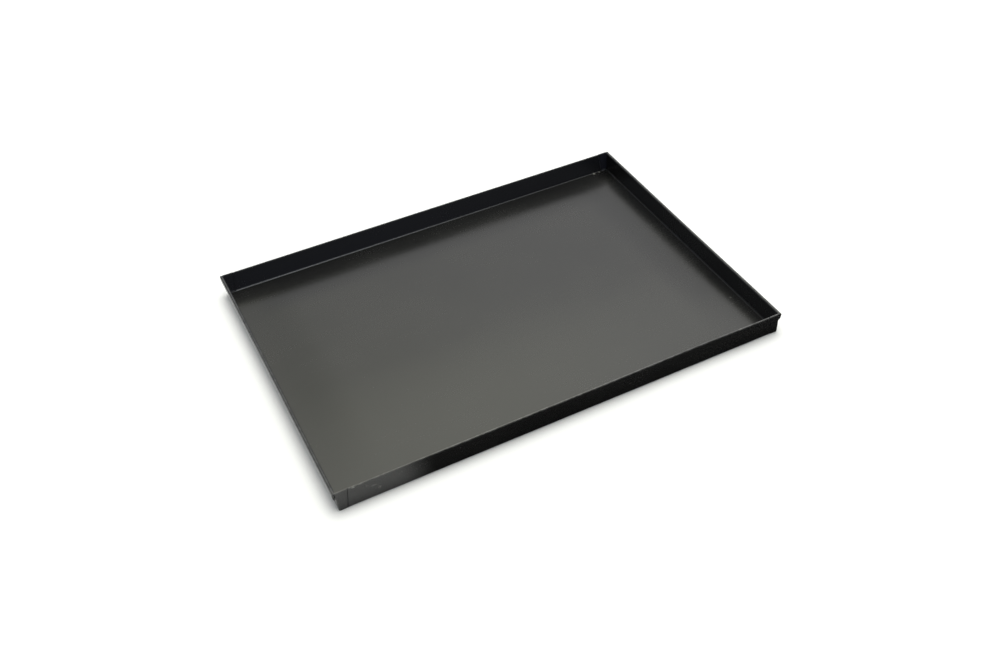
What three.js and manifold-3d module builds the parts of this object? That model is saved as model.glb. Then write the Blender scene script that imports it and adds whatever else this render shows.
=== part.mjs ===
// A shallow rectangular tray of black-coated sheet steel, in millimetres, +Z up.
// The origin is under the middle of the floor, X runs along the length and Y along the width.
//
// One sheet makes the floor and the two long walls. Each end wall is a sheet of its own: its top
// edge is hemmed outward, and its two ends are bent round the corners as short tabs, which lie in
// line with the long walls and are butt-welded to them. Fillet welds inside the tray join the
// floor to the end walls and to the tabs.

import * as THREE from 'three';
import { mergeVertices } from 'three/addons/utils/BufferGeometryUtils.js';
import Module from 'manifold-3d';

const wasm = await Module();
wasm.setup();

// Outside size, over the hems and the long walls
const LENGTH = 400;
const WIDTH = 300;
const HEIGHT = 20;

// Sheet
const SHEET = 1.0;
const SIDE_LEAN = 1.2; // how far a long wall moves outward from the bottom to the rim
const END_LEAN = 0.75; // the same of an end wall
const FLOOR_BEND_INSIDE = 0.4; // inside radius between the floor and a long wall
const END_FOOT = 0.35; // height of the end walls' lower edges over the underside
const EDGE_GAP = 0.05; // play between two sheets that meet

// Hem along the top of each end wall
const HEM_DEPTH = 7.8;
const HEM_GAP = 0.8; // inside width of the hem's rolled top
const HEM_KNEE = 5.6; // depth below the rim where the hem turns in toward the wall
const HEM_KNEE_IN = 0.1; // how far the hem has come inward down to there
const HEM_SHORT = 0.1; // how far each end of the hem stops short of the long walls' outside
const HEM_BITE = 0.02; // how much thicker the roll is than the wall that it grows out of

// Corner bends and tabs of the end walls, which widen toward the rim
const CORNER_OUTSIDE_BOTTOM = 1.15;
const CORNER_OUTSIDE_TOP = 1.35;
const TAB_WIDTH_BOTTOM = 6.6;
const TAB_WIDTH_TOP = 9.4;

// Welds
const WELD_GAP = 0.03; // play between a weld and the sheets that it joins
const BUTT_WIDTH = 0.6;
const BUTT_RECESS = 0.06; // how far a butt weld lies below the outside of the wall
const BUTT_CROWN = 0.25; // how far it stands proud of the inside
const BUTT_END = 0.4; // how far it stops short of the bottom and of the rim
const FILLET_LEG = 1.2;
const FILLET_HOLLOW = 0.4; // how near its root the fillet's hollow face is drawn

// Facets
const BEND_SEGMENTS = 8;
const WELD_SEGMENTS = 6;
const SAME_SPOT = 1e-3; // points nearer than this are one point

const HEM_RADIUS = HEM_GAP / 2 + SHEET;
const HEM_START = HEIGHT - HEM_RADIUS; // the end wall is straight up to here

const steel = { color: 0x2b2c2d, roughness: 0.42, metalness: 0.6 };
const weldMetal = { color: 0x232426, roughness: 0.6, metalness: 0.6 };

// Where a leaning surface lies at height z, from its place at another height
function leaning(place, atHeight, lean, z) {
  return place - lean * (atHeight - z) / HEIGHT;
}

// A value that changes evenly from the bottom to the rim
function between(bottom, top, z) {
  return bottom + (top - bottom) * z / HEIGHT;
}

function endOutside(z) {
  return leaning(LENGTH / 2 - HEM_GAP - SHEET, HEM_START, END_LEAN, z);
}

function endInside(z) {
  return endOutside(z) - SHEET;
}

function sideOutside(z) {
  return leaning(WIDTH / 2, HEIGHT, SIDE_LEAN, z);
}

function sideInside(z) {
  return sideOutside(z) - SHEET;
}

function cornerRadius(z) {
  return between(CORNER_OUTSIDE_BOTTOM, CORNER_OUTSIDE_TOP, z);
}

function tabEdge(z) {
  return endOutside(0) - between(TAB_WIDTH_BOTTOM, TAB_WIDTH_TOP, z);
}

function longWallEnd(z) {
  return tabEdge(z) - BUTT_WIDTH;
}

// Half the width of the flat floor, where the bends to the long walls start
function flatHalfWidth() {
  const lean = Math.atan2(SIDE_LEAN, HEIGHT);
  const bendOutside = FLOOR_BEND_INSIDE + SHEET;
  return sideOutside(0) - bendOutside * (1 - Math.sin(lean)) / Math.cos(lean);
}

function point(x, y) {
  return new THREE.Vector2(x, y);
}

function arcPoints(centreX, centreY, radius, startAngle, endAngle, segments) {
  const clockwise = endAngle < startAngle;
  const curve = new THREE.EllipseCurve(centreX, centreY, radius, radius, startAngle, endAngle, clockwise);
  return curve.getPoints(segments);
}

function curvePoints(start, control, end) {
  return new THREE.QuadraticBezierCurve(start, control, end).getPoints(WELD_SEGMENTS);
}

// The outline mirrored in one or both axes, still counterclockwise
function mirrored(points, alongX, alongY) {
  const moved = points.map((p) => point(alongX * p.x, alongY * p.y));
  return alongX * alongY > 0 ? moved : moved.reverse();
}

function extrude(outline, depth) {
  return new THREE.ExtrudeGeometry(new THREE.Shape(outline), { depth, bevelEnabled: false });
}

// A solid between two outlines with as many points each, one at each height
function loft(outlineAt, bottomHeight, topHeight) {
  const bottom = outlineAt(bottomHeight);
  const top = outlineAt(topHeight);
  const depth = topHeight - bottomHeight;
  const geometry = extrude(bottom, depth);
  const position = geometry.getAttribute('position');
  for (let i = 0; i < position.count; i += 1) {
    if (position.getZ(i) > depth / 2) {
      const spot = point(position.getX(i), position.getY(i));
      const corner = bottom.findIndex((p) => p.distanceTo(spot) < SAME_SPOT);
      position.setXY(i, top[corner].x, top[corner].y);
    }
  }
  return geometry.translate(0, 0, bottomHeight);
}

// Turns an outline drawn in Y and Z, extruded from 0, to run along X from a place
function alongLength(geometry, start) {
  const yAxis = new THREE.Vector3(0, 1, 0);
  const zAxis = new THREE.Vector3(0, 0, 1);
  const xAxis = new THREE.Vector3(1, 0, 0);
  geometry.applyMatrix4(new THREE.Matrix4().makeBasis(yAxis, zAxis, xAxis));
  return geometry.translate(start, 0, 0);
}

// Turns an outline drawn in X and Z, extruded from 0, to run along Y about the middle
function alongWidth(geometry, width) {
  geometry.rotateX(Math.PI / 2);
  return geometry.translate(0, width / 2, 0);
}

function toManifold(geometry) {
  const bare = geometry.clone();
  bare.deleteAttribute('normal');
  bare.deleteAttribute('uv');
  const merged = mergeVertices(bare, 1e-5);
  return new wasm.Manifold(new wasm.Mesh({
    numProp: 3,
    vertProperties: merged.getAttribute('position').array,
    triVerts: new Uint32Array(merged.getIndex().array),
  }));
}

function fromManifold(solid) {
  const mesh = solid.getMesh();
  const geometry = new THREE.BufferGeometry();
  geometry.setAttribute('position', new THREE.BufferAttribute(mesh.vertProperties, 3));
  geometry.setIndex(new THREE.BufferAttribute(mesh.triVerts, 1));
  geometry.computeVertexNormals();
  return geometry;
}

// The flat floor from above: wider at its ends, where it reaches out to the tabs
function floorOutline() {
  const flat = flatHalfWidth();
  const end = endInside(0) - EDGE_GAP;
  const side = sideInside(0) - EDGE_GAP;
  const corner = [point(end, side), point(tabEdge(0), side), point(tabEdge(0), flat)];
  return [
    ...mirrored(corner, 1, 1),
    ...mirrored(corner, -1, 1),
    ...mirrored(corner, -1, -1),
    ...mirrored(corner, 1, -1),
  ];
}

// Section of the long wall on the +Y side in Y and Z, with its bend and a strip of the floor
function longWallSection() {
  const lean = Math.atan2(SIDE_LEAN, HEIGHT);
  const flat = flatHalfWidth();
  const radius = FLOOR_BEND_INSIDE + SHEET;
  const strip = flat - SHEET;
  return [
    point(strip, 0),
    ...arcPoints(flat, radius, radius, -Math.PI / 2, -lean, BEND_SEGMENTS),
    point(sideOutside(HEIGHT), HEIGHT),
    point(sideInside(HEIGHT), HEIGHT),
    ...arcPoints(flat, radius, FLOOR_BEND_INSIDE, -lean, -Math.PI / 2, BEND_SEGMENTS),
    point(strip, SHEET),
  ];
}

function longWall(side) {
  const geometry = alongLength(extrude(mirrored(longWallSection(), side, 1), LENGTH), -LENGTH / 2);
  const position = geometry.getAttribute('position');
  for (let i = 0; i < position.count; i += 1) {
    position.setX(i, Math.sign(position.getX(i)) * longWallEnd(position.getZ(i)));
  }
  return geometry;
}

function panSheet() {
  const floor = toManifold(extrude(floorOutline(), SHEET));
  return fromManifold(floor.add(toManifold(longWall(1))).add(toManifold(longWall(-1))));
}

// Corner bend and tab at the +X +Y corner, from the outside of the end wall round to its inside
function cornerPath(z) {
  const radius = cornerRadius(z);
  const centreX = endOutside(z) - radius;
  const centreY = sideOutside(z) - radius;
  return [
    ...arcPoints(centreX, centreY, radius, 0, Math.PI / 2, BEND_SEGMENTS),
    point(tabEdge(z), sideOutside(z)),
    point(tabEdge(z), sideInside(z)),
    ...arcPoints(centreX, centreY, radius - SHEET, Math.PI / 2, 0, BEND_SEGMENTS),
  ];
}

function wrapOutline(z) {
  return [...cornerPath(z), ...mirrored(cornerPath(z), 1, -1)];
}

// Half the straight stretch between the two corner bends
function straightHalf() {
  return sideOutside(HEM_START) - cornerRadius(HEM_START);
}

// The hem's section in X and Z: a roll over the top of the wall, and a leg that hangs down from it
// and closes on the wall below its knee
function hemOutline() {
  const centre = endOutside(HEM_START) + HEM_GAP / 2;
  const inner = HEM_GAP / 2 - HEM_BITE;
  const legBottom = HEIGHT - HEM_DEPTH;
  const legInside = endOutside(legBottom) + EDGE_GAP;
  const knee = HEIGHT - HEM_KNEE;
  const kneeOutside = LENGTH / 2 - HEM_KNEE_IN;
  return [
    point(centre - HEM_RADIUS - HEM_BITE, HEM_START - HEM_BITE),
    point(centre - inner, HEM_START - HEM_BITE),
    ...arcPoints(centre, HEM_START, inner, Math.PI, 0, 2 * BEND_SEGMENTS),
    point(kneeOutside - SHEET, knee),
    point(legInside, legBottom),
    point(legInside + SHEET, legBottom),
    point(kneeOutside, knee),
    ...arcPoints(centre, HEM_START, HEM_RADIUS, 0, Math.PI, 2 * BEND_SEGMENTS),
  ];
}

// The hem's ends are cut at a slant below the roll, so that its lower edge ends where the corner
// bends start
function hem() {
  const length = WIDTH - 2 * HEM_SHORT;
  const fall = HEM_START - (HEIGHT - HEM_DEPTH);
  const inset = length / 2 - straightHalf();
  let solid = toManifold(alongWidth(extrude(hemOutline(), length), length));
  for (const side of [1, -1]) {
    const normal = new THREE.Vector3(0, -side * fall, inset).normalize();
    const corner = new THREE.Vector3(0, side * length / 2, HEM_START);
    solid = solid.trimByPlane(normal.toArray(), normal.dot(corner));
  }
  return solid;
}

// The wall and its tabs, with the top of the wall cut away between the corner bends to make room
// for the hem, which runs on over the bends
function endWall() {
  const wrap = toManifold(loft(wrapOutline, END_FOOT, HEIGHT));
  const roomLength = 2 * straightHalf();
  const roomAcross = 4 * SHEET;
  const roomHeight = 2 * HEM_RADIUS;
  const room = new THREE.BoxGeometry(roomAcross, roomLength, roomHeight);
  room.translate(endOutside(HEM_START) - SHEET / 2, 0, HEM_START + roomHeight / 2);
  return fromManifold(wrap.subtract(toManifold(room)).add(hem()));
}

// Section of a fillet weld that lies on the floor against a wall on its right
function filletSection(wallInside) {
  const bottom = SHEET + WELD_GAP;
  const top = bottom + FILLET_LEG;
  const root = point(wallInside(bottom) - WELD_GAP, bottom);
  const onFloor = point(root.x - FILLET_LEG, bottom);
  const onWall = point(wallInside(top) - WELD_GAP, top);
  const hollow = point(root.x - FILLET_HOLLOW, bottom + FILLET_HOLLOW);
  return [root, ...curvePoints(onWall, hollow, onFloor)];
}

// Fillet between the floor and the end wall, at the +X end
function floorSeam() {
  const length = 2 * (sideInside(SHEET) - FILLET_LEG - 2 * WELD_GAP);
  return alongWidth(extrude(filletSection(endInside), length), length);
}

// Fillet between the floor and the foot of a tab
function tabFillet(alongX, alongY) {
  const start = tabEdge(0) + WELD_GAP;
  const end = endInside(SHEET) - WELD_GAP;
  const section = mirrored(filletSection(sideInside), alongY, 1);
  return alongLength(extrude(section, end - start), alongX > 0 ? start : -end);
}

// Upright butt weld between a tab and the end of the long wall; its crown lies halfway to the
// point that its inside curve is drawn toward
function tabSeam(alongX, alongY) {
  const outlineAt = (z) => {
    const left = longWallEnd(z) + WELD_GAP;
    const right = tabEdge(z) - WELD_GAP;
    const outside = sideOutside(z) - BUTT_RECESS;
    const inside = sideInside(z);
    const crown = point((left + right) / 2, inside - 2 * BUTT_CROWN);
    const outline = [
      point(right, outside),
      point(left, outside),
      ...curvePoints(point(left, inside), crown, point(right, inside)),
    ];
    return mirrored(outline, alongX, alongY);
  };
  return loft(outlineAt, BUTT_END, HEIGHT - BUTT_END);
}

const tray = new THREE.Group();

function addPiece(name, geometry, finish) {
  const piece = new THREE.Mesh(geometry, new THREE.MeshStandardMaterial(finish));
  piece.name = name;
  tray.add(piece);
  return piece;
}

const ends = [
  { name: 'right', side: 1, turn: 0 },
  { name: 'left', side: -1, turn: Math.PI },
];
const walls = [
  { name: 'front', side: -1 },
  { name: 'back', side: 1 },
];

addPiece('pan_sheet', panSheet(), steel);
for (const end of ends) {
  addPiece(`${end.name}_end_wall`, endWall(), steel).rotation.z = end.turn;
  addPiece(`${end.name}_floor_seam`, floorSeam(), weldMetal).rotation.z = end.turn;
  for (const wall of walls) {
    const corner = `${wall.name}_${end.name}`;
    addPiece(`${corner}_tab_seam`, tabSeam(end.side, wall.side), weldMetal);
    addPiece(`${corner}_tab_fillet`, tabFillet(end.side, wall.side), weldMetal);
  }
}

export default tray;
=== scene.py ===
import math

import bpy
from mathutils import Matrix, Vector, noise


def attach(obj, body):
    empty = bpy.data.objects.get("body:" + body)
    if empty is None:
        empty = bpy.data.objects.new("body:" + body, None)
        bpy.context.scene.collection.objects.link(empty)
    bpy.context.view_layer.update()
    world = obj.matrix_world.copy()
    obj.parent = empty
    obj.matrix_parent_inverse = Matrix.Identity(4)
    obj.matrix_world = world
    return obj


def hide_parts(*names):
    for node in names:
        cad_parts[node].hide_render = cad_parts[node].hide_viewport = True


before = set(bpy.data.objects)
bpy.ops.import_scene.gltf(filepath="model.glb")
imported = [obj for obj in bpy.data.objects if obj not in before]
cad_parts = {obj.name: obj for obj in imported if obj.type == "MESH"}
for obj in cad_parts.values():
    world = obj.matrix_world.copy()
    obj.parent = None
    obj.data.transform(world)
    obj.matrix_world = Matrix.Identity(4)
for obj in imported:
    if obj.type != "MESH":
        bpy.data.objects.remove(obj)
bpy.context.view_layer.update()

MM = 0.001

# ---------------------------------------------------------------- the tray's dimensions

LENGTH = 400
WIDTH = 300
HEIGHT = 20
SHEET = 1.0
SIDE_LEAN = 1.2
END_LEAN = 0.75
FLOOR_BEND_INSIDE = 0.4
END_FOOT = 0.35
EDGE_GAP = 0.05
HEM_DEPTH = 7.8
HEM_GAP = 0.8
HEM_KNEE = 5.6
HEM_KNEE_IN = 0.1
HEM_SHORT = 0.1
CORNER_OUTSIDE_BOTTOM = 1.15
CORNER_OUTSIDE_TOP = 1.35
TAB_WIDTH_BOTTOM = 6.6
TAB_WIDTH_TOP = 9.4
BUTT_WIDTH = 0.6
BUTT_END = 0.4
FILLET_LEG = 1.2

HALF_SHEET = SHEET / 2
HEM_START = HEIGHT - HEM_GAP / 2 - SHEET
LEAN_ANGLE = math.atan2(SIDE_LEAN, HEIGHT)
CLEAR = 0.03  # kept free between the pieces and the outermost planes of the tray
HEM_SHARE = 0.9995  # the share of the wall between the corner bends that turns over into the hem
EDGE_ROUND = 0.11  # radius left on the sheet's cut edges
CROWN = 2.0  # how far the floor's middle stands above its edges
CROWN_REACH = 51  # how far from the walls it is level again
CROWN_REACH_FRONT = 130  # the same from the front wall
CROWN_WAVE = 0.1  # waviness on top of the crown
HEM_OVERLAP = 0.3  # how far the hem's end stretches run into the rest of it

# the rims' bends: how far each is pushed inward at the most
CORNER_PUSH = 0.75  # at the front left corner
CORNER_PUSH_LOST = 0.35  # how much less at the front right corner
FRONT_BOW = 0.2
FRONT_DENT = 0.75
BACK_BOW = 0.25
RIGHT_BOW = 0.3
LEFT_BOW = 0.22
BEND_GROWTH = 1.5  # a bend grows from a wall's foot to its rim as this power of the height

# how finely the surfaces are divided
FLOOR_COLUMNS = 96
FLOOR_ROWS = 74
BEND_STEPS = 10
WALL_STEPS = 16
TAB_STEPS = 5
CORNER_STEPS = 10
END_STEPS = 36
ROLL_STEPS = 16
LEG_STEPS = 5
FOOT_STEPS = 4

# the weld beads
RIPPLE_PITCH = 1.35
RIPPLE_WANDER = 0.35
RIPPLE_HEIGHT = 0.11
LUMP_HEIGHT = 0.16
BEAD_STEP = 0.34
BEAD_TAPER = 1.6  # over this length a bead grows to its full size
BEAD_END_SIZE = 0.35
FILLET_SUNK = 0.12
FILLET_HOLLOW = 0.30
BUTT_RECESS = 0.16
BUTT_OVERLAP = 0.16  # how far a butt weld runs over the sheets beside it
BUTT_CROWN = 0.25

# ---------------------------------------------------------------- where the surfaces lie


def leaning(place, at_height, lean, z):
    return place - lean * (at_height - z) / HEIGHT


def between(bottom, top, z):
    return bottom + (top - bottom) * z / HEIGHT


def end_outside(z):
    return leaning(LENGTH / 2 - HEM_GAP - SHEET, HEM_START, END_LEAN, z)


def end_inside(z):
    return end_outside(z) - SHEET


def side_outside(z):
    return leaning(WIDTH / 2, HEIGHT, SIDE_LEAN, z)


def side_inside(z):
    return side_outside(z) - SHEET


def corner_radius(z):
    return between(CORNER_OUTSIDE_BOTTOM, CORNER_OUTSIDE_TOP, z)


def tab_edge(z):
    return end_outside(0) - between(TAB_WIDTH_BOTTOM, TAB_WIDTH_TOP, z)


def long_wall_end(z):
    return tab_edge(z) - BUTT_WIDTH


def flat_half_width():
    outside = FLOOR_BEND_INSIDE + SHEET
    return side_outside(0) - outside * (1 - math.sin(LEAN_ANGLE)) / math.cos(LEAN_ANGLE)


def smooth(t):
    t = min(max(t, 0.0), 1.0)
    return t * t * (3 - 2 * t)


def bump(x, centre, left, right):
    """A smooth hill: 1 at the centre, 0 from left and right of it on."""
    reach = left if x < centre else right
    return smooth(1 - abs(x - centre) / reach)


def corner_push(x):
    """How far the front rim is pushed inward at its ends, corners and all."""
    return CORNER_PUSH - CORNER_PUSH_LOST * smooth((x + LENGTH / 2) / (LENGTH / 2))


def rim_bow(x, side):
    """How far the rim of a long wall is bent inward, which shows on the front one."""
    if side < 0:
        return corner_push(x) + FRONT_BOW * bump(x, -10, 150, 190) + FRONT_DENT * bump(x, 122, 105, 66)
    return BACK_BOW * smooth(abs(x) / (LENGTH / 2))


def rise(z):
    """The share of the rim's bend that a wall has at a height."""
    return (z / HEIGHT) ** BEND_GROWTH


def end_bow(y, side):
    """How far an end wall's rim is bent inward."""
    return (RIGHT_BOW if side > 0 else LEFT_BOW) * bump(y, 20 * side, 150, 120)


def floor_crown(x, y):
    """A thin floor is never quite flat: it rises a little from its edges toward the middle."""
    reach = CROWN_REACH if y > 0 else CROWN_REACH_FRONT
    inland = smooth((end_inside(0) - abs(x)) / CROWN_REACH) * smooth((side_inside(0) - abs(y)) / reach)
    wave = 0.5 + 0.5 * noise.noise(Vector((x / 85, y / 70, 3.7)))
    return (CROWN + CROWN_WAVE * wave) * inland


# ---------------------------------------------------------------- meshes


class Grid:
    """Points kept by key, and the faces between them."""

    def __init__(self):
        self.points = []
        self.index = {}
        self.faces = []

    def put(self, key, x, y, z):
        self.index[key] = len(self.points)
        self.points.append((x * MM, y * MM, z * MM))

    def face(self, *keys):
        if all(key in self.index for key in keys):
            self.faces.append([self.index[key] for key in keys])

    def cells(self, columns, rows, key, flip=False):
        for i in range(columns):
            for j in range(rows):
                ring = [key(i + 1, j), key(i + 1, j + 1), key(i, j + 1)]
                self.face(key(i, j), *(reversed(ring) if flip else ring))

    def make(self, name):
        mesh = bpy.data.meshes.new(name)
        mesh.from_pydata(self.points, [], self.faces)
        mesh.update()
        mesh.polygons.foreach_set("use_smooth", [True] * len(mesh.polygons))
        piece = bpy.data.objects.new(name, mesh)
        bpy.context.scene.collection.objects.link(piece)
        return piece


def spread(start, end, steps):
    return [start + (end - start) * i / steps for i in range(steps + 1)]


def give_thickness(piece):
    """Thickens a middle surface to the sheet, and takes the sharpness off its cut edges."""
    solid = piece.modifiers.new("sheet", "SOLIDIFY")
    solid.thickness = SHEET * MM
    solid.offset = 0
    solid.use_even_offset = True
    soften = piece.modifiers.new("edges", "BEVEL")
    soften.width = EDGE_ROUND * MM
    soften.segments = 2
    soften.limit_method = "ANGLE"
    soften.angle_limit = math.radians(50)
    soften.harden_normals = True
    return piece


def bend_and_wall_rows():
    """Section of a long wall's middle surface from the flat floor's edge to the rim."""
    flat = flat_half_width()
    radius = FLOOR_BEND_INSIDE + HALF_SHEET
    centre_z = FLOOR_BEND_INSIDE + SHEET
    rows = []
    for angle in spread(-math.pi / 2, -LEAN_ANGLE, BEND_STEPS):
        rows.append((flat + radius * math.cos(angle), centre_z + radius * math.sin(angle)))
    start_y, start_z = rows[-1]
    top_z = HEIGHT - HALF_SHEET * math.sin(LEAN_ANGLE) - CLEAR
    for z in spread(start_z, top_z, WALL_STEPS)[1:]:
        rows.append((start_y + (z - start_z) * math.tan(LEAN_ANGLE), z))
    return rows


def pan_sheet():
    """The floor and the two long walls, one sheet bent up twice."""
    grid = Grid()
    flat = flat_half_width()
    wall_end = long_wall_end(0)
    floor_end = end_inside(0) - EDGE_GAP
    reach = side_inside(0) - EDGE_GAP
    middle = spread(-wall_end, wall_end, FLOOR_COLUMNS)
    outer = [tab_edge(0), (tab_edge(0) + floor_end) / 2, floor_end]
    columns = [-x for x in reversed(outer)] + middle + outer
    skip = len(outer)
    across = spread(-flat, flat, FLOOR_ROWS)
    for i, x in enumerate(columns):
        for j, y in enumerate(across):
            grid.put(("floor", i, j), x, y, HALF_SHEET + floor_crown(x, y))
    grid.cells(len(columns) - 1, len(across) - 1, lambda i, j: ("floor", i, j))
    for side in (-1, 1):
        edge = 0 if side < 0 else len(across) - 1
        lips = [i for i, x in enumerate(columns) if abs(x) >= outer[0]]
        for i in lips:
            grid.index["lip", i, 0] = grid.index["floor", i, edge]
            grid.put(("lip", i, 1), columns[i], side * reach, HALF_SHEET)
        for i in lips:
            ring = [("lip", i, 0), ("lip", i + 1, 0), ("lip", i + 1, 1), ("lip", i, 1)]
            if i + 1 in lips:
                grid.face(*(ring if side > 0 else reversed(ring)))
        for i in lips:
            del grid.index["lip", i, 0], grid.index["lip", i, 1]
        rows = bend_and_wall_rows()
        for i, x in enumerate(middle):
            grid.index["wall", i, 0] = grid.index["floor", i + skip, edge]
            for j, (y, z) in enumerate(rows[1:], 1):
                along = x * long_wall_end(z - HALF_SHEET) / wall_end
                inward = rim_bow(along, side) * rise(z)
                grid.put(("wall", i, j), along, side * (y - inward), z)
        grid.cells(len(middle) - 1, len(rows) - 1, lambda i, j: ("wall", i, j), flip=side < 0)
    return give_thickness(grid.make("floor_and_long_walls"))


def wrap_columns():
    """Stations round an end wall: which part of the path each lies on, and how far along it."""
    half = [("tab", t) for t in spread(1, 0, TAB_STEPS)]
    half += [("arc", t) for t in spread(1, 0, CORNER_STEPS)[1:]]
    half += [("wall", t) for t in spread(HEM_SHARE, 0, END_STEPS)]
    mirrored = [(part, t, 1) for part, t in reversed(half[:-1])]
    return [(part, t, -1) for part, t in half] + mirrored


def wrap_place(part, t, z):
    """A place on the middle surface round a right-hand corner, with Y counted outward."""
    radius = corner_radius(z)
    side = side_outside(z)
    end = end_outside(z)
    if part == "tab":
        return (end - radius) * (1 - t) + tab_edge(z) * t, side - HALF_SHEET
    if part == "arc":
        angle = t * math.pi / 2
        middle = radius - HALF_SHEET
        return end - radius + middle * math.cos(angle), side - radius + middle * math.sin(angle)
    return end - HALF_SHEET, (side - radius) * t


def hem_rows():
    """Section of the hem's middle surface from the top of the wall over the roll and down."""
    radius = HEM_GAP / 2 + HALF_SHEET - CLEAR
    centre = end_outside(HEM_START) - HALF_SHEET + radius
    rows = []
    for angle in spread(math.pi, 0, ROLL_STEPS)[1:]:
        rows.append((centre + radius * math.cos(angle), HEM_START + radius * math.sin(angle)))
    start_x, start_z = rows[-1]
    knee = HEIGHT - HEM_KNEE
    knee_x = start_x - HEM_KNEE_IN
    foot_x = end_outside(HEIGHT - HEM_DEPTH) + EDGE_GAP + HALF_SHEET
    for t in spread(0, 1, LEG_STEPS)[1:]:
        rows.append((start_x + (knee_x - start_x) * t * t, start_z + (knee - start_z) * t))
    for t in spread(0, 1, FOOT_STEPS)[1:]:
        rows.append((knee_x + (foot_x - knee_x) * t, knee - (HEM_DEPTH - HEM_KNEE) * t))
    return rows


def pushed(y, side, z):
    """A place across an end wall, moved in with the front corner that is pushed inward."""
    if y > 0:
        return y
    return y * (1 - corner_push(side * LENGTH / 2) * rise(z) / (WIDTH / 2))


def end_wall(side):
    """An end wall with its two tabs and its hem, at the +X end or turned round to the -X end."""
    grid = Grid()
    columns = wrap_columns()
    heights = spread(END_FOOT, HEM_START, WALL_STEPS)
    full = len(heights)
    hem = hem_rows()
    for i, (part, t, turn) in enumerate(columns):
        for j, z in enumerate(heights):
            x, y = wrap_place(part, t, z)
            inward = end_bow(turn * y, side) * rise(z) * (1 if part == "wall" else 0)
            grid.put((i, j), side * (x - inward), pushed(side * turn * y, side, z), z)
        if part == "wall":
            for j, (x, z) in enumerate(hem):
                _, y = wrap_place(part, t, HEM_START)
                inward = end_bow(turn * y, side)
                grid.put((i, full + j), side * (x - inward), pushed(side * turn * y, side, z), z)
        else:
            z = HEIGHT - CLEAR
            x, y = wrap_place(part, t, z)
            grid.put((i, "top"), side * x, pushed(side * turn * y, side, z), z)
    rows = full + len(hem)
    grid.cells(len(columns) - 1, rows - 1, lambda i, j: (i, j))
    for i in range(len(columns) - 1):
        grid.face((i, full - 1), (i + 1, full - 1), (i + 1, "top"), (i, "top"))
    for turn in (-1, 1):
        hem_end(grid, side, turn, hem)
    name = "right_end_wall_sheet" if side > 0 else "left_end_wall_sheet"
    return give_thickness(grid.make(name))


def hem_end(grid, side, turn, hem):
    """The last stretch of the hem, which runs on over a corner bend and is cut at a slant."""
    section = [(end_outside(HEM_START) - HALF_SHEET, HEM_START)] + hem
    inner = HEM_SHARE * (side_outside(HEM_START) - corner_radius(HEM_START)) - HEM_OVERLAP
    outer = WIDTH / 2 - HEM_SHORT - CLEAR
    bottom = HEIGHT - HEM_DEPTH
    for j, (x, z) in enumerate(section):
        below = max(0.0, (HEM_START - z) / (HEM_START - bottom))
        cut_back = (outer - inner - HEM_OVERLAP) * below
        ends = [inner, outer - cut_back]
        for i, y in enumerate(ends if turn > 0 else [-y for y in reversed(ends)]):
            grid.put(("end", turn, i, j), side * x, pushed(side * y, side, z), z)
    grid.cells(1, len(section) - 1, lambda i, j: ("end", turn, i, j))


def ripple(s, seed):
    """Height of a weld bead's ripples and lumps at a distance along it."""
    wander = RIPPLE_WANDER * noise.noise(Vector((s / 5, seed, 0)))
    wave = 0.5 + 0.5 * math.cos(2 * math.pi * (s / RIPPLE_PITCH + wander))
    lump = noise.noise(Vector((s / 3.1, seed, 7)))
    return RIPPLE_HEIGHT * wave + LUMP_HEIGHT * lump


def bead(name, place, length, seed, section):
    """A closed weld bead: place(s, a, b) turns a section's point into the tray's frame."""
    grid = Grid()
    steps = max(int(length / BEAD_STEP), 8)
    count = len(section(0, 1.0))
    for i in range(steps + 1):
        s = length * i / steps
        end = min(s, length - s)
        size = BEAD_END_SIZE + (1 - BEAD_END_SIZE) * math.sqrt(smooth(end / BEAD_TAPER))
        for j, (a, b) in enumerate(section(s, size)):
            grid.put((i, j), *place(s, a, b))
    for i in range(steps):
        for j in range(count):
            k = (j + 1) % count
            grid.face((i, j), (i, k), (i + 1, k), (i + 1, j))
    for i, order in ((0, range(count - 1, -1, -1)), (steps, range(count))):
        grid.face(*((i, j) for j in order))
    return grid.make(name)


def fillet_section(seed, leg):
    """Section of a fillet: a is measured from the wall, b up from the floor."""

    def section(s, size):
        reach = leg * size * (1 + ripple(s, seed))
        height = leg * size * (1 + ripple(s + 0.4, seed + 9))
        points = [(-FILLET_SUNK, -FILLET_SUNK), (-FILLET_SUNK, height)]
        for t in spread(0, 1, 8):
            curve = 1 - FILLET_HOLLOW * math.sin(math.pi * t)
            points.append((reach * t * curve, height * (1 - t) * curve))
        points.append((reach, -FILLET_SUNK))
        return points

    return section


def floor_seam(side):
    """The fillet between the floor and an end wall."""
    half = side_inside(SHEET) - 0.5

    def place(s, a, b):
        z = SHEET + b
        return side * (end_inside(z) - a), side * (s - half), z

    name = "right_floor_weld" if side > 0 else "left_floor_weld"
    return bead(name, place, 2 * half, 11 + side, fillet_section(11 + side, FILLET_LEG))


def tab_fillet(end, side, name):
    """The fillet between the floor and the foot of a tab."""
    start = tab_edge(0) - BUTT_WIDTH / 2
    length = end_inside(SHEET) - start - 0.4

    def place(s, a, b):
        z = SHEET + b
        return end * (start + s), side * (side_inside(z) - a), z

    seed = 20 + 3 * end + side
    return bead(name, place, length, seed, fillet_section(seed, FILLET_LEG))


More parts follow.
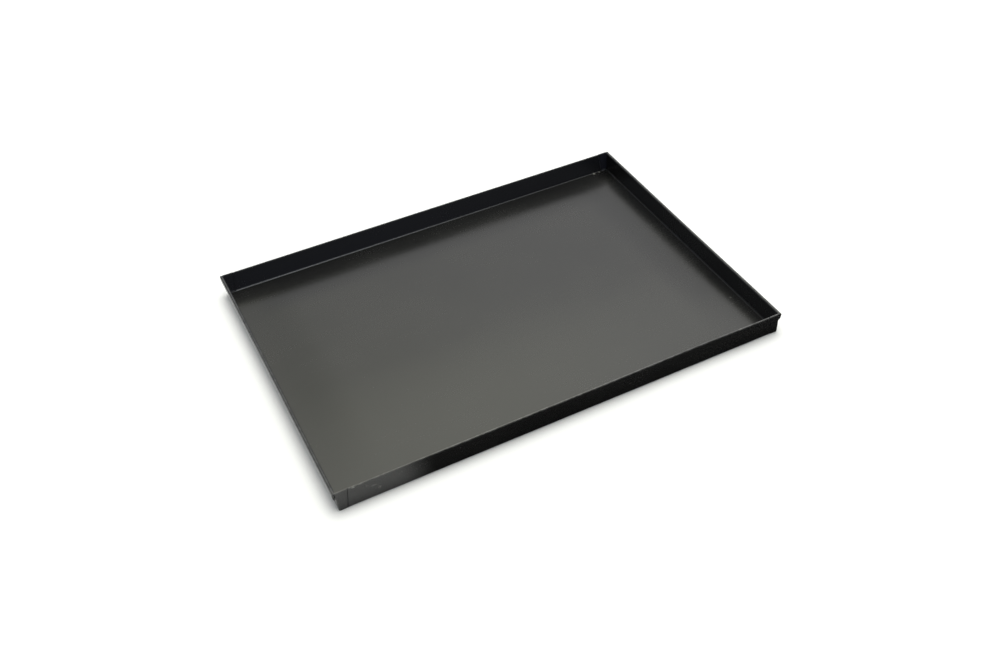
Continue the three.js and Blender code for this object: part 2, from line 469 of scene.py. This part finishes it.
def tab_seam(end, side, name):
    """The upright butt weld between a tab and the end of a long wall."""
    seed = 40 + 3 * end + side

    def section(s, size):
        width = BUTT_WIDTH / 2 + BUTT_OVERLAP
        crown = BUTT_CROWN * size * (1 + 2 * ripple(s, seed))
        points = [(BUTT_WIDTH / 2, BUTT_RECESS), (-BUTT_WIDTH / 2, BUTT_RECESS)]
        points += [(-BUTT_WIDTH / 2, SHEET - 0.05), (-width, SHEET - 0.02)]
        for t in spread(-1, 1, 8)[1:-1]:
            points.append((width * t, SHEET + crown * (1 - t * t)))
        points += [(width, SHEET - 0.02), (BUTT_WIDTH / 2, SHEET - 0.05)]
        return points

    def place(s, a, b):
        z = BUTT_END + s
        middle = (tab_edge(z) + long_wall_end(z)) / 2
        inward = rim_bow(end * middle, side) * rise(z)
        return end * (middle + a), side * (side_outside(z) - inward - b), z

    return bead(name, place, HEIGHT - 2 * BUTT_END, seed, section)


# ---------------------------------------------------------------- materials


class Nodes:
    """Adds shader nodes and links in one line each."""

    def __init__(self, tree):
        self.tree = tree
        tree.nodes.clear()

    def add(self, kind, inputs=None, **settings):
        node = self.tree.nodes.new(kind)
        for key, value in settings.items():
            setattr(node, key, value)
        for key, value in (inputs or {}).items():
            if isinstance(value, bpy.types.NodeSocket):
                self.tree.links.new(value, node.inputs[key])
            else:
                node.inputs[key].default_value = value
        return node

    def math(self, operation, a, b=0.0):
        return self.add("ShaderNodeMath", {0: a, 1: b}, operation=operation).outputs[0]

    def times(self, a, b):
        return self.math("MULTIPLY", a, b)

    def ramp(self, value, low, high, to_low=0.0, to_high=1.0):
        inputs = {"Value": value, "From Min": low, "From Max": high}
        inputs.update({"To Min": to_low, "To Max": to_high})
        node = self.add("ShaderNodeMapRange", inputs, interpolation_type="SMOOTHSTEP")
        return node.outputs[0]

    def across(self, place, low, high, to_low=0.0, to_high=1.0):
        """A ramp between two places on the tray, in millimetres along one of its axes."""
        return self.ramp(place, low * MM, high * MM, to_low, to_high)

    def mix(self, share, a, b):
        inputs = {"Factor": share, 6: a, 7: b}
        return self.add("ShaderNodeMix", inputs, data_type="RGBA").outputs[2]

    def noise(self, vector, scale, detail=2.0, rough=0.5):
        inputs = {"Vector": vector, "Scale": scale, "Detail": detail, "Roughness": rough}
        return self.add("ShaderNodeTexNoise", inputs).outputs[0]

    def stretched(self, vector, scale):
        return self.add("ShaderNodeMapping", {"Vector": vector, "Scale": scale}).outputs[0]


def grey(value, tint=(1.0, 1.0, 1.0)):
    return (value * tint[0], value * tint[1], value * tint[2], 1.0)


BLACK = grey(0.0065)
BLACK_WORN = grey(0.0095, (1.0, 1.01, 0.97))
BLACK_GRAIN = grey(0.014)
# painted light: a lighter, bluish copy of the black for the back wall and the welds beside it
BACK_WALL_PAINTED_LIGHT = grey(0.0250, (0.90, 0.95, 1.20))
HEAT_TINT = grey(0.030, (0.88, 0.95, 1.40))
SHADE = grey(0.002)
RUBBED_AND_HIGHLIGHT = grey(0.072)
FOLD_HIGHLIGHT = grey(0.115, (0.95, 1.0, 1.08))
SEAM_SHADE_AND_STREAKS = grey(0.003)
BARE_AND_GLINT = grey(0.30, (1.0, 1.0, 0.9))
COATING_IOR = 1.6

WELD_BLACK = grey(0.004)
WELD_BLUE = grey(0.009, (0.86, 0.95, 1.25))
WELD_SOOT = grey(0.03)
WELD_IOR = 1.36

# Zones of the finish and of its painted light and shade, each from one place to another in millimetres
# along an axis
WALL_FOOT = (1.2, 2.4)  # up, where the floor's finish gives way to the walls'
BACK_WALL = (147.0, 147.8)  # across
FRONT_WALL = (-147.5, -146.5)  # across
FRONT_RIM = (-147.0, -140.0)  # across
RIM_HEIGHT = (HEIGHT - 1.9, HEIGHT - 0.3)
BACK_LIGHT_FADE = (-100, 190)  # along the back wall, where its painted light fades
HEAT_BAY = (188.0, 192.5)  # along the back wall, on the far right tab
END_SHADE = (176, 190)  # along the floor, toward the right end wall, where the floor is painted in shade
HANDLED_AND_HIGHLIGHT = (-125, -95)  # along the front rim, which is more rubbed and has more painted highlight from here on
LEFT_TAB = (-189, -187)
FOLD_NEAR = (146.2, 147.0)  # across, over the bend between the floor and a long wall, which carries a painted highlight
FOLD_FAR = (147.9, 148.2)
FOLD_LOW = (0.4, 0.6)
FOLD_HIGH = (1.6, 2.2)
FOLD_FADE = (-190, 170)  # along the bend, where its painted highlight fades
WELD_BACK_LIGHT_ZONE = (146.0, 147.5)  # across, where beads near the back wall take its painted light

# Marks and painted glints: the centre, the reach along each axis, and the strength
SPECKS_AND_GLINTS = (
    ((-183.6, -149.0, 19.0), (1.9, 2.5, 1.3), 0.6),
    ((-178.0, -149.2, 19.4), (2.4, 2.5, 0.7), 0.25),
    ((158.0, -149.0, 20.0), (2.2, 2.5, 1.2), 0.35),
    ((181.5, 146.6, 1.0), (2.0, 1.9, 1.5), 0.8),
    ((187.4, 146.6, 1.0), (1.4, 1.5, 1.2), 0.5),
    ((195.8, 129.0, 1.0), (0.9, 1.8, 1.0), 0.3),
    ((178.9, 16.0, 1.0), (1.0, 1.0, 1.0), 0.35),
    ((188.4, -91.2, 1.0), (1.2, 1.6, 1.0), 0.25),
    ((-168.5, -149.2, 12.8), (4.2, 2.5, 1.1), 0.16),
    ((-164.5, -149.2, 8.6), (2.2, 2.5, 2.4), 0.12),
    ((-173.5, -149.2, 15.2), (2.0, 2.5, 1.2), 0.10),
)
# Painted shade along the front left tab's seam, and how dark it and the tab's real streaks turn
SEAM_SHADE_SPOT = ((-190.4, -149.0, 8.0), (1.5, 6.0, 17.0))
SEAM_SHADE_AND_STREAK_DEPTH = 0.5


def spot(n, place, centre, reach, softness=0.5):
    """1 at a place of the tray, in millimetres, and 0 from its reach along each axis on."""
    away = n.add("ShaderNodeVectorMath", {0: place, 1: [c * MM for c in centre]}, operation="SUBTRACT")
    scaled = n.add(
        "ShaderNodeVectorMath", {0: away.outputs[0], 1: [r * MM for r in reach]}, operation="DIVIDE"
    )
    length = n.add("ShaderNodeVectorMath", {0: scaled.outputs[0]}, operation="LENGTH").outputs[1]
    return n.ramp(length, softness, 1.0, 1.0, 0.0)


def marks_glints_and_seam_shade(n, place, axes):
    """Bright specks and scuffs, partly real wear and partly painted glints, and darkening on the front
    wall: streaks on the left tab, and painted shade beside the tab's seam.
    """
    rough_edge = n.noise(place, 700.0, 3.0, 0.7)
    marks_and_glints = None
    # specks and scuffs: partly real wear, partly painted glints, as by the back right corner of the
    # floor
    for centre, reach, strength in SPECKS_AND_GLINTS:
        one = n.times(spot(n, place, centre, reach, 0.2), strength)
        marks_and_glints = one if marks_and_glints is None else n.math("MAXIMUM", marks_and_glints, one)
    marks_and_glints = n.times(marks_and_glints, n.ramp(rough_edge, 0.35, 0.55, 0.4, 1.0))
    front = n.across(axes["Y"], *FRONT_WALL, 1.0, 0.0)
    # painted shade: a soft dark band along the left tab's seam on the front wall; the streaks on the
    # tab beside it are real
    seam = spot(n, place, *SEAM_SHADE_SPOT, 0.1)
    streaks = n.noise(n.stretched(place, (900.0, 40.0, 30.0)), 1.0, 3.0, 0.6)
    tab = n.times(n.across(axes["X"], *LEFT_TAB, 1.0, 0.0), n.ramp(streaks, 0.45, 0.7))
    seam_shade_and_streaks = n.math("MAXIMUM", n.times(seam, SEAM_SHADE_AND_STREAK_DEPTH), n.times(tab, SEAM_SHADE_AND_STREAK_DEPTH))
    return marks_and_glints, n.times(seam_shade_and_streaks, front)


def coated_steel(name):
    """Thin semi-gloss black coating on rolled sheet: grain, blotches, worn edges and specks, with
    painted light and shade: a lighter bluish back wall, painted shade on the floor by the right end
    wall and beside the left tab's seam, and painted highlights on the rims, along the bends and as
    glints.
    """
    material = bpy.data.materials.new(name)
    material.use_nodes = True
    n = Nodes(material.node_tree)
    place = n.add("ShaderNodeTexCoord").outputs["Object"]
    axes = n.add("ShaderNodeSeparateXYZ", {0: place}).outputs

    blotch = n.noise(place, 9.0, 3.0, 0.55)
    grain = n.noise(place, 900.0, 3.0, 0.6)
    rolled = n.noise(n.stretched(place, (5.0, 150.0, 60.0)), 1.0, 2.0, 0.5)
    scratch = n.noise(n.stretched(place, (14.0, 900.0, 300.0)), 1.0, 2.0, 0.5)

    base = n.mix(n.ramp(blotch, 0.35, 0.68), BLACK, BLACK_WORN)
    base = n.mix(n.ramp(grain, 0.45, 0.8, 0.0, 0.5), base, BLACK_GRAIN)
    back_side = n.across(axes["Y"], *BACK_WALL)
    # painted light: the back wall is given a lighter, bluish copy of the coating, stronger toward its
    # left end
    back_painted_light = n.times(back_side, n.across(axes["X"], *BACK_LIGHT_FADE, 0.85, 0.55))
    base = n.mix(back_painted_light, base, BACK_WALL_PAINTED_LIGHT)
    upright = n.across(axes["Z"], *WALL_FOOT)
    bay = n.times(n.across(axes["X"], *HEAT_BAY), n.times(back_side, upright))
    base = n.mix(n.times(bay, 0.8), base, HEAT_TINT)
    # painted shade: the floor turns darker toward the right end wall
    level = n.across(axes["Z"], *WALL_FOOT, 1.0, 0.0)
    shade = n.times(n.across(axes["X"], *END_SHADE), level)
    base = n.mix(n.times(shade, 0.7), base, SHADE)

    # the rims' top edges turn greyer in patches: partly real wear, partly a painted highlight,
    # stronger along the front rim and most toward its right
    height = n.across(axes["Z"], *RIM_HEIGHT)
    patchy = n.ramp(n.noise(place, 160.0, 4.0, 0.65), 0.36, 0.66, 0.35, 1.0)
    handled_and_highlight = n.across(axes["X"], *HANDLED_AND_HIGHLIGHT, 1.4, 2.3)
    handled_and_highlight = n.mix(n.across(axes["Y"], *FRONT_RIM), handled_and_highlight, grey(1.0))
    rubbed_and_highlight = n.times(n.times(height, patchy), handled_and_highlight)
    base = n.mix(n.times(rubbed_and_highlight, 0.55), base, RUBBED_AND_HIGHLIGHT)

    # painted highlight along the inside of the bend between the floor and each long wall, strongest
    # toward the left end
    aside = n.math("ABSOLUTE", axes["Y"])
    fold_highlight = n.times(n.across(aside, *FOLD_NEAR), n.across(aside, *FOLD_FAR, 1.0, 0.0))
    fold_highlight = n.times(fold_highlight, n.across(axes["Z"], *FOLD_HIGH, 1.0, 0.0))
    fold_highlight = n.times(fold_highlight, n.across(axes["X"], *FOLD_FADE, 1.0, 0.12))
    fold_highlight = n.times(fold_highlight, n.across(axes["Z"], *FOLD_LOW))
    base = n.mix(n.times(fold_highlight, 0.8), base, FOLD_HIGHLIGHT)

    marks_and_glints, seam_shade_and_streaks = marks_glints_and_seam_shade(n, place, axes)
    base = n.mix(seam_shade_and_streaks, base, SEAM_SHADE_AND_STREAKS)
    base = n.mix(marks_and_glints, base, BARE_AND_GLINT)

    rough = n.ramp(blotch, 0.3, 0.7, 0.225, 0.265)
    rough = n.math("ADD", rough, n.ramp(rolled, 0.3, 0.7, -0.008, 0.008))
    rough = n.math("ADD", rough, n.ramp(grain, 0.3, 0.75, -0.015, 0.03))
    rough = n.math("SUBTRACT", rough, n.times(rubbed_and_highlight, 0.06))
    rough = n.math("ADD", rough, n.times(seam_shade_and_streaks, 0.35))

    relief = n.math("ADD", n.times(grain, 0.6), n.times(rolled, 0.15))
    relief = n.math("ADD", relief, n.times(scratch, 0.06))
    bumped = n.add("ShaderNodeBump", {"Height": relief, "Strength": 0.35, "Distance": 0.00002})
    shader = n.add("ShaderNodeBsdfPrincipled", {
        "Base Color": base,
        "Roughness": rough,
        "Normal": bumped.outputs[0],
        "IOR": COATING_IOR,
    })
    n.add("ShaderNodeOutputMaterial", {"Surface": shader.outputs[0]})
    return material


def weld_metal(name):
    """Coated weld bead: duller, with a blue heat tint and fine soot, and the back wall's lighter
    bluish painted light on the beads beside it.
    """
    material = bpy.data.materials.new(name)
    material.use_nodes = True
    n = Nodes(material.node_tree)
    place = n.add("ShaderNodeTexCoord").outputs["Object"]
    patch = n.noise(place, 180.0, 3.0, 0.6)
    fine = n.noise(place, 2200.0, 2.0, 0.6)
    base = n.mix(n.ramp(patch, 0.4, 0.65), WELD_BLACK, WELD_BLUE)
    base = n.mix(n.ramp(fine, 0.6, 0.8, 0.0, 0.4), base, WELD_SOOT)
    depth = n.add("ShaderNodeSeparateXYZ", {0: place}).outputs["Y"]
    # painted light: beads near the back wall take its lighter bluish colour
    base = n.mix(n.across(depth, *WELD_BACK_LIGHT_ZONE, 0.0, 0.85), base, BACK_WALL_PAINTED_LIGHT)
    rough = n.ramp(patch, 0.3, 0.7, 0.5, 0.66)
    bumped = n.add("ShaderNodeBump", {"Height": fine, "Strength": 0.5, "Distance": 0.00004})
    shader = n.add("ShaderNodeBsdfPrincipled", {
        "Base Color": base,
        "Roughness": rough,
        "Normal": bumped.outputs[0],
        "IOR": WELD_IOR,
    })
    n.add("ShaderNodeOutputMaterial", {"Surface": shader.outputs[0]})
    return material


# ---------------------------------------------------------------- the tray

STEEL = coated_steel("black_coating")
WELD = weld_metal("weld_coating")


def dress(piece, material, slot, *nodes):
    piece.data.materials.append(material)
    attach(piece, "root")
    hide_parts(*nodes)


dress(pan_sheet(), STEEL, "black_coated_steel", "pan_sheet")
for end, end_name in ((1, "right"), (-1, "left")):
    dress(end_wall(end), STEEL, "black_coated_steel", end_name + "_end_wall")
    dress(floor_seam(end), WELD, "weld", end_name + "_floor_seam")
    for side, side_name in ((-1, "front"), (1, "back")):
        corner = side_name + "_" + end_name
        dress(tab_seam(end, side, corner + "_butt_weld"), WELD, "weld", corner + "_tab_seam")
        dress(tab_fillet(end, side, corner + "_foot_weld"), WELD, "weld", corner + "_tab_fillet")

# ---------------------------------------------------------------- floor, light and camera

STAGE_REACH = 6000
STAGE_Z = -0.02
STAGE_COLOUR = grey(0.90)

# painted shade: a black card before the front wall, seen only in its shine
CARD_ALONG = (-230, 230)
CARD_ACROSS = (-230, -149.2)
CARD_Z = 0.03
CARD_START = (-150, -116)  # along the front wall, where the card fades in
CARD_THIN = 0.18  # how much of the card is left to the left of that
CARD_SHADE_COLOUR = grey(0.02)

# The sky's brightness by direction: from one height or bearing to another, and the two levels
SKY_ABOVE = (0.60, 0.78, 1.08, 2.35)
SKY_LOW = (0.28, 0.585, 0.4, 1.0)
SKY_RIGHT = (-0.35, 0.42, 0.34, 1.04)
SKY_FAR_RIGHT = (0.40, 0.62, 1.0, 0.7)
SKY_BEHIND = (-0.30, 0.35, 0.62, 1.0)
SKY_OLIVE = grey(1.0, (1.0, 1.01, 0.87))
SKY_BLUE = grey(1.0, (0.88, 0.95, 1.15))

LAMP_PLACE = (0.2, 0.3, 3.0)
LAMP_SIZE = 2.0
LAMP_POWER = 54.0

CAMERA_PLACE = (-0.28116, -0.72451, 0.63996)
CAMERA_TURN = (47.4984, 1.0829, -29.6660)
CAMERA_LENS = 40.77
CAMERA_SHIFT = (-0.11138, 0.03095)


def flat_sheet(name, along, across, z):
    grid = Grid()
    for i, x in enumerate(along):
        for j, y in enumerate(across):
            grid.put((i, j), x, y, z)
    grid.cells(1, 1, lambda i, j: (i, j))
    return grid.make(name)


def stage_floor():
    sides = (-STAGE_REACH, STAGE_REACH)
    floor = flat_sheet("stage_floor", sides, sides, STAGE_Z)
    material = bpy.data.materials.new("pale_floor")
    material.use_nodes = True
    n = Nodes(material.node_tree)
    shader = n.add("ShaderNodeBsdfDiffuse", {"Color": STAGE_COLOUR})
    n.add("ShaderNodeOutputMaterial", {"Surface": shader.outputs[0]})
    floor.data.materials.append(material)


def studio_dome():
    world = bpy.data.worlds.new("studio")
    world.use_nodes = True
    bpy.context.scene.world = world
    n = Nodes(world.node_tree)
    toward = n.add("ShaderNodeTexCoord").outputs["Generated"]
    axes = n.add("ShaderNodeSeparateXYZ", {0: toward}).outputs
    above = n.ramp(axes["Z"], *SKY_ABOVE)
    low = n.ramp(axes["Z"], *SKY_LOW)
    right = n.ramp(axes["X"], *SKY_RIGHT)
    far_right = n.ramp(axes["X"], *SKY_FAR_RIGHT)
    behind = n.ramp(axes["Y"], *SKY_BEHIND)
    level = n.times(n.times(above, behind), n.times(right, far_right))
    level = n.times(level, low)
    leftward = n.math("SUBTRACT", axes["Z"], n.times(axes["X"], 0.35))
    tint = n.mix(n.ramp(leftward, 0.52, 0.65), grey(1.0), SKY_OLIVE)
    tint = n.mix(n.ramp(level, 0.2, 0.9), SKY_BLUE, tint)
    shader = n.add("ShaderNodeBackground", {"Color": tint, "Strength": level})
    n.add("ShaderNodeOutputWorld", {"Surface": shader.outputs[0]})


def softbox():
    """A square lamp overhead that points at the middle of the tray."""
    light = bpy.data.lights.new("overhead", "AREA")
    light.shape = "SQUARE"
    light.size = LAMP_SIZE
    light.energy = LAMP_POWER
    lamp = bpy.data.objects.new("overhead", light)
    lamp.location = LAMP_PLACE
    lamp.rotation_euler = (-Vector(LAMP_PLACE)).to_track_quat("-Z", "Y").to_euler()
    bpy.context.scene.collection.objects.link(lamp)


def camera():
    data = bpy.data.cameras.new("camera")
    data.sensor_width = 36
    data.lens = CAMERA_LENS
    data.shift_x, data.shift_y = CAMERA_SHIFT
    data.clip_start = 0.01
    data.clip_end = 100
    eye = bpy.data.objects.new("camera", data)
    eye.location = CAMERA_PLACE
    eye.rotation_euler = [math.radians(angle) for angle in CAMERA_TURN]
    bpy.context.scene.collection.objects.link(eye)
    bpy.context.scene.camera = eye


def painted_shade_card():
    """A matt black sheet before the front wall, seen only in the front wall's shine: it paints a dark
    reflection there, painted shade that stands in for shade on the floor before the tray.
    """
    card = flat_sheet("painted_shade_card", CARD_ALONG, CARD_ACROSS, CARD_Z)
    material = bpy.data.materials.new("painted_shade_black")
    material.use_nodes = True
    n = Nodes(material.node_tree)
    place = n.add("ShaderNodeTexCoord").outputs["Object"]
    axes = n.add("ShaderNodeSeparateXYZ", {0: place}).outputs
    cover = n.across(axes["X"], *CARD_START, CARD_THIN, 1.0)
    clear = n.add("ShaderNodeBsdfTransparent")
    black = n.add("ShaderNodeBsdfDiffuse", {"Color": CARD_SHADE_COLOUR})
    shader = n.add("ShaderNodeMixShader", {0: cover, 1: clear.outputs[0], 2: black.outputs[0]})
    n.add("ShaderNodeOutputMaterial", {"Surface": shader.outputs[0]})
    card.data.materials.append(material)
    for kind in ("camera", "diffuse", "shadow", "transmission", "volume_scatter"):
        setattr(card, "visible_" + kind, False)


stage_floor()
painted_shade_card()
studio_dome()
softbox()
camera()
bpy.context.scene.view_settings.view_transform = "Standard"
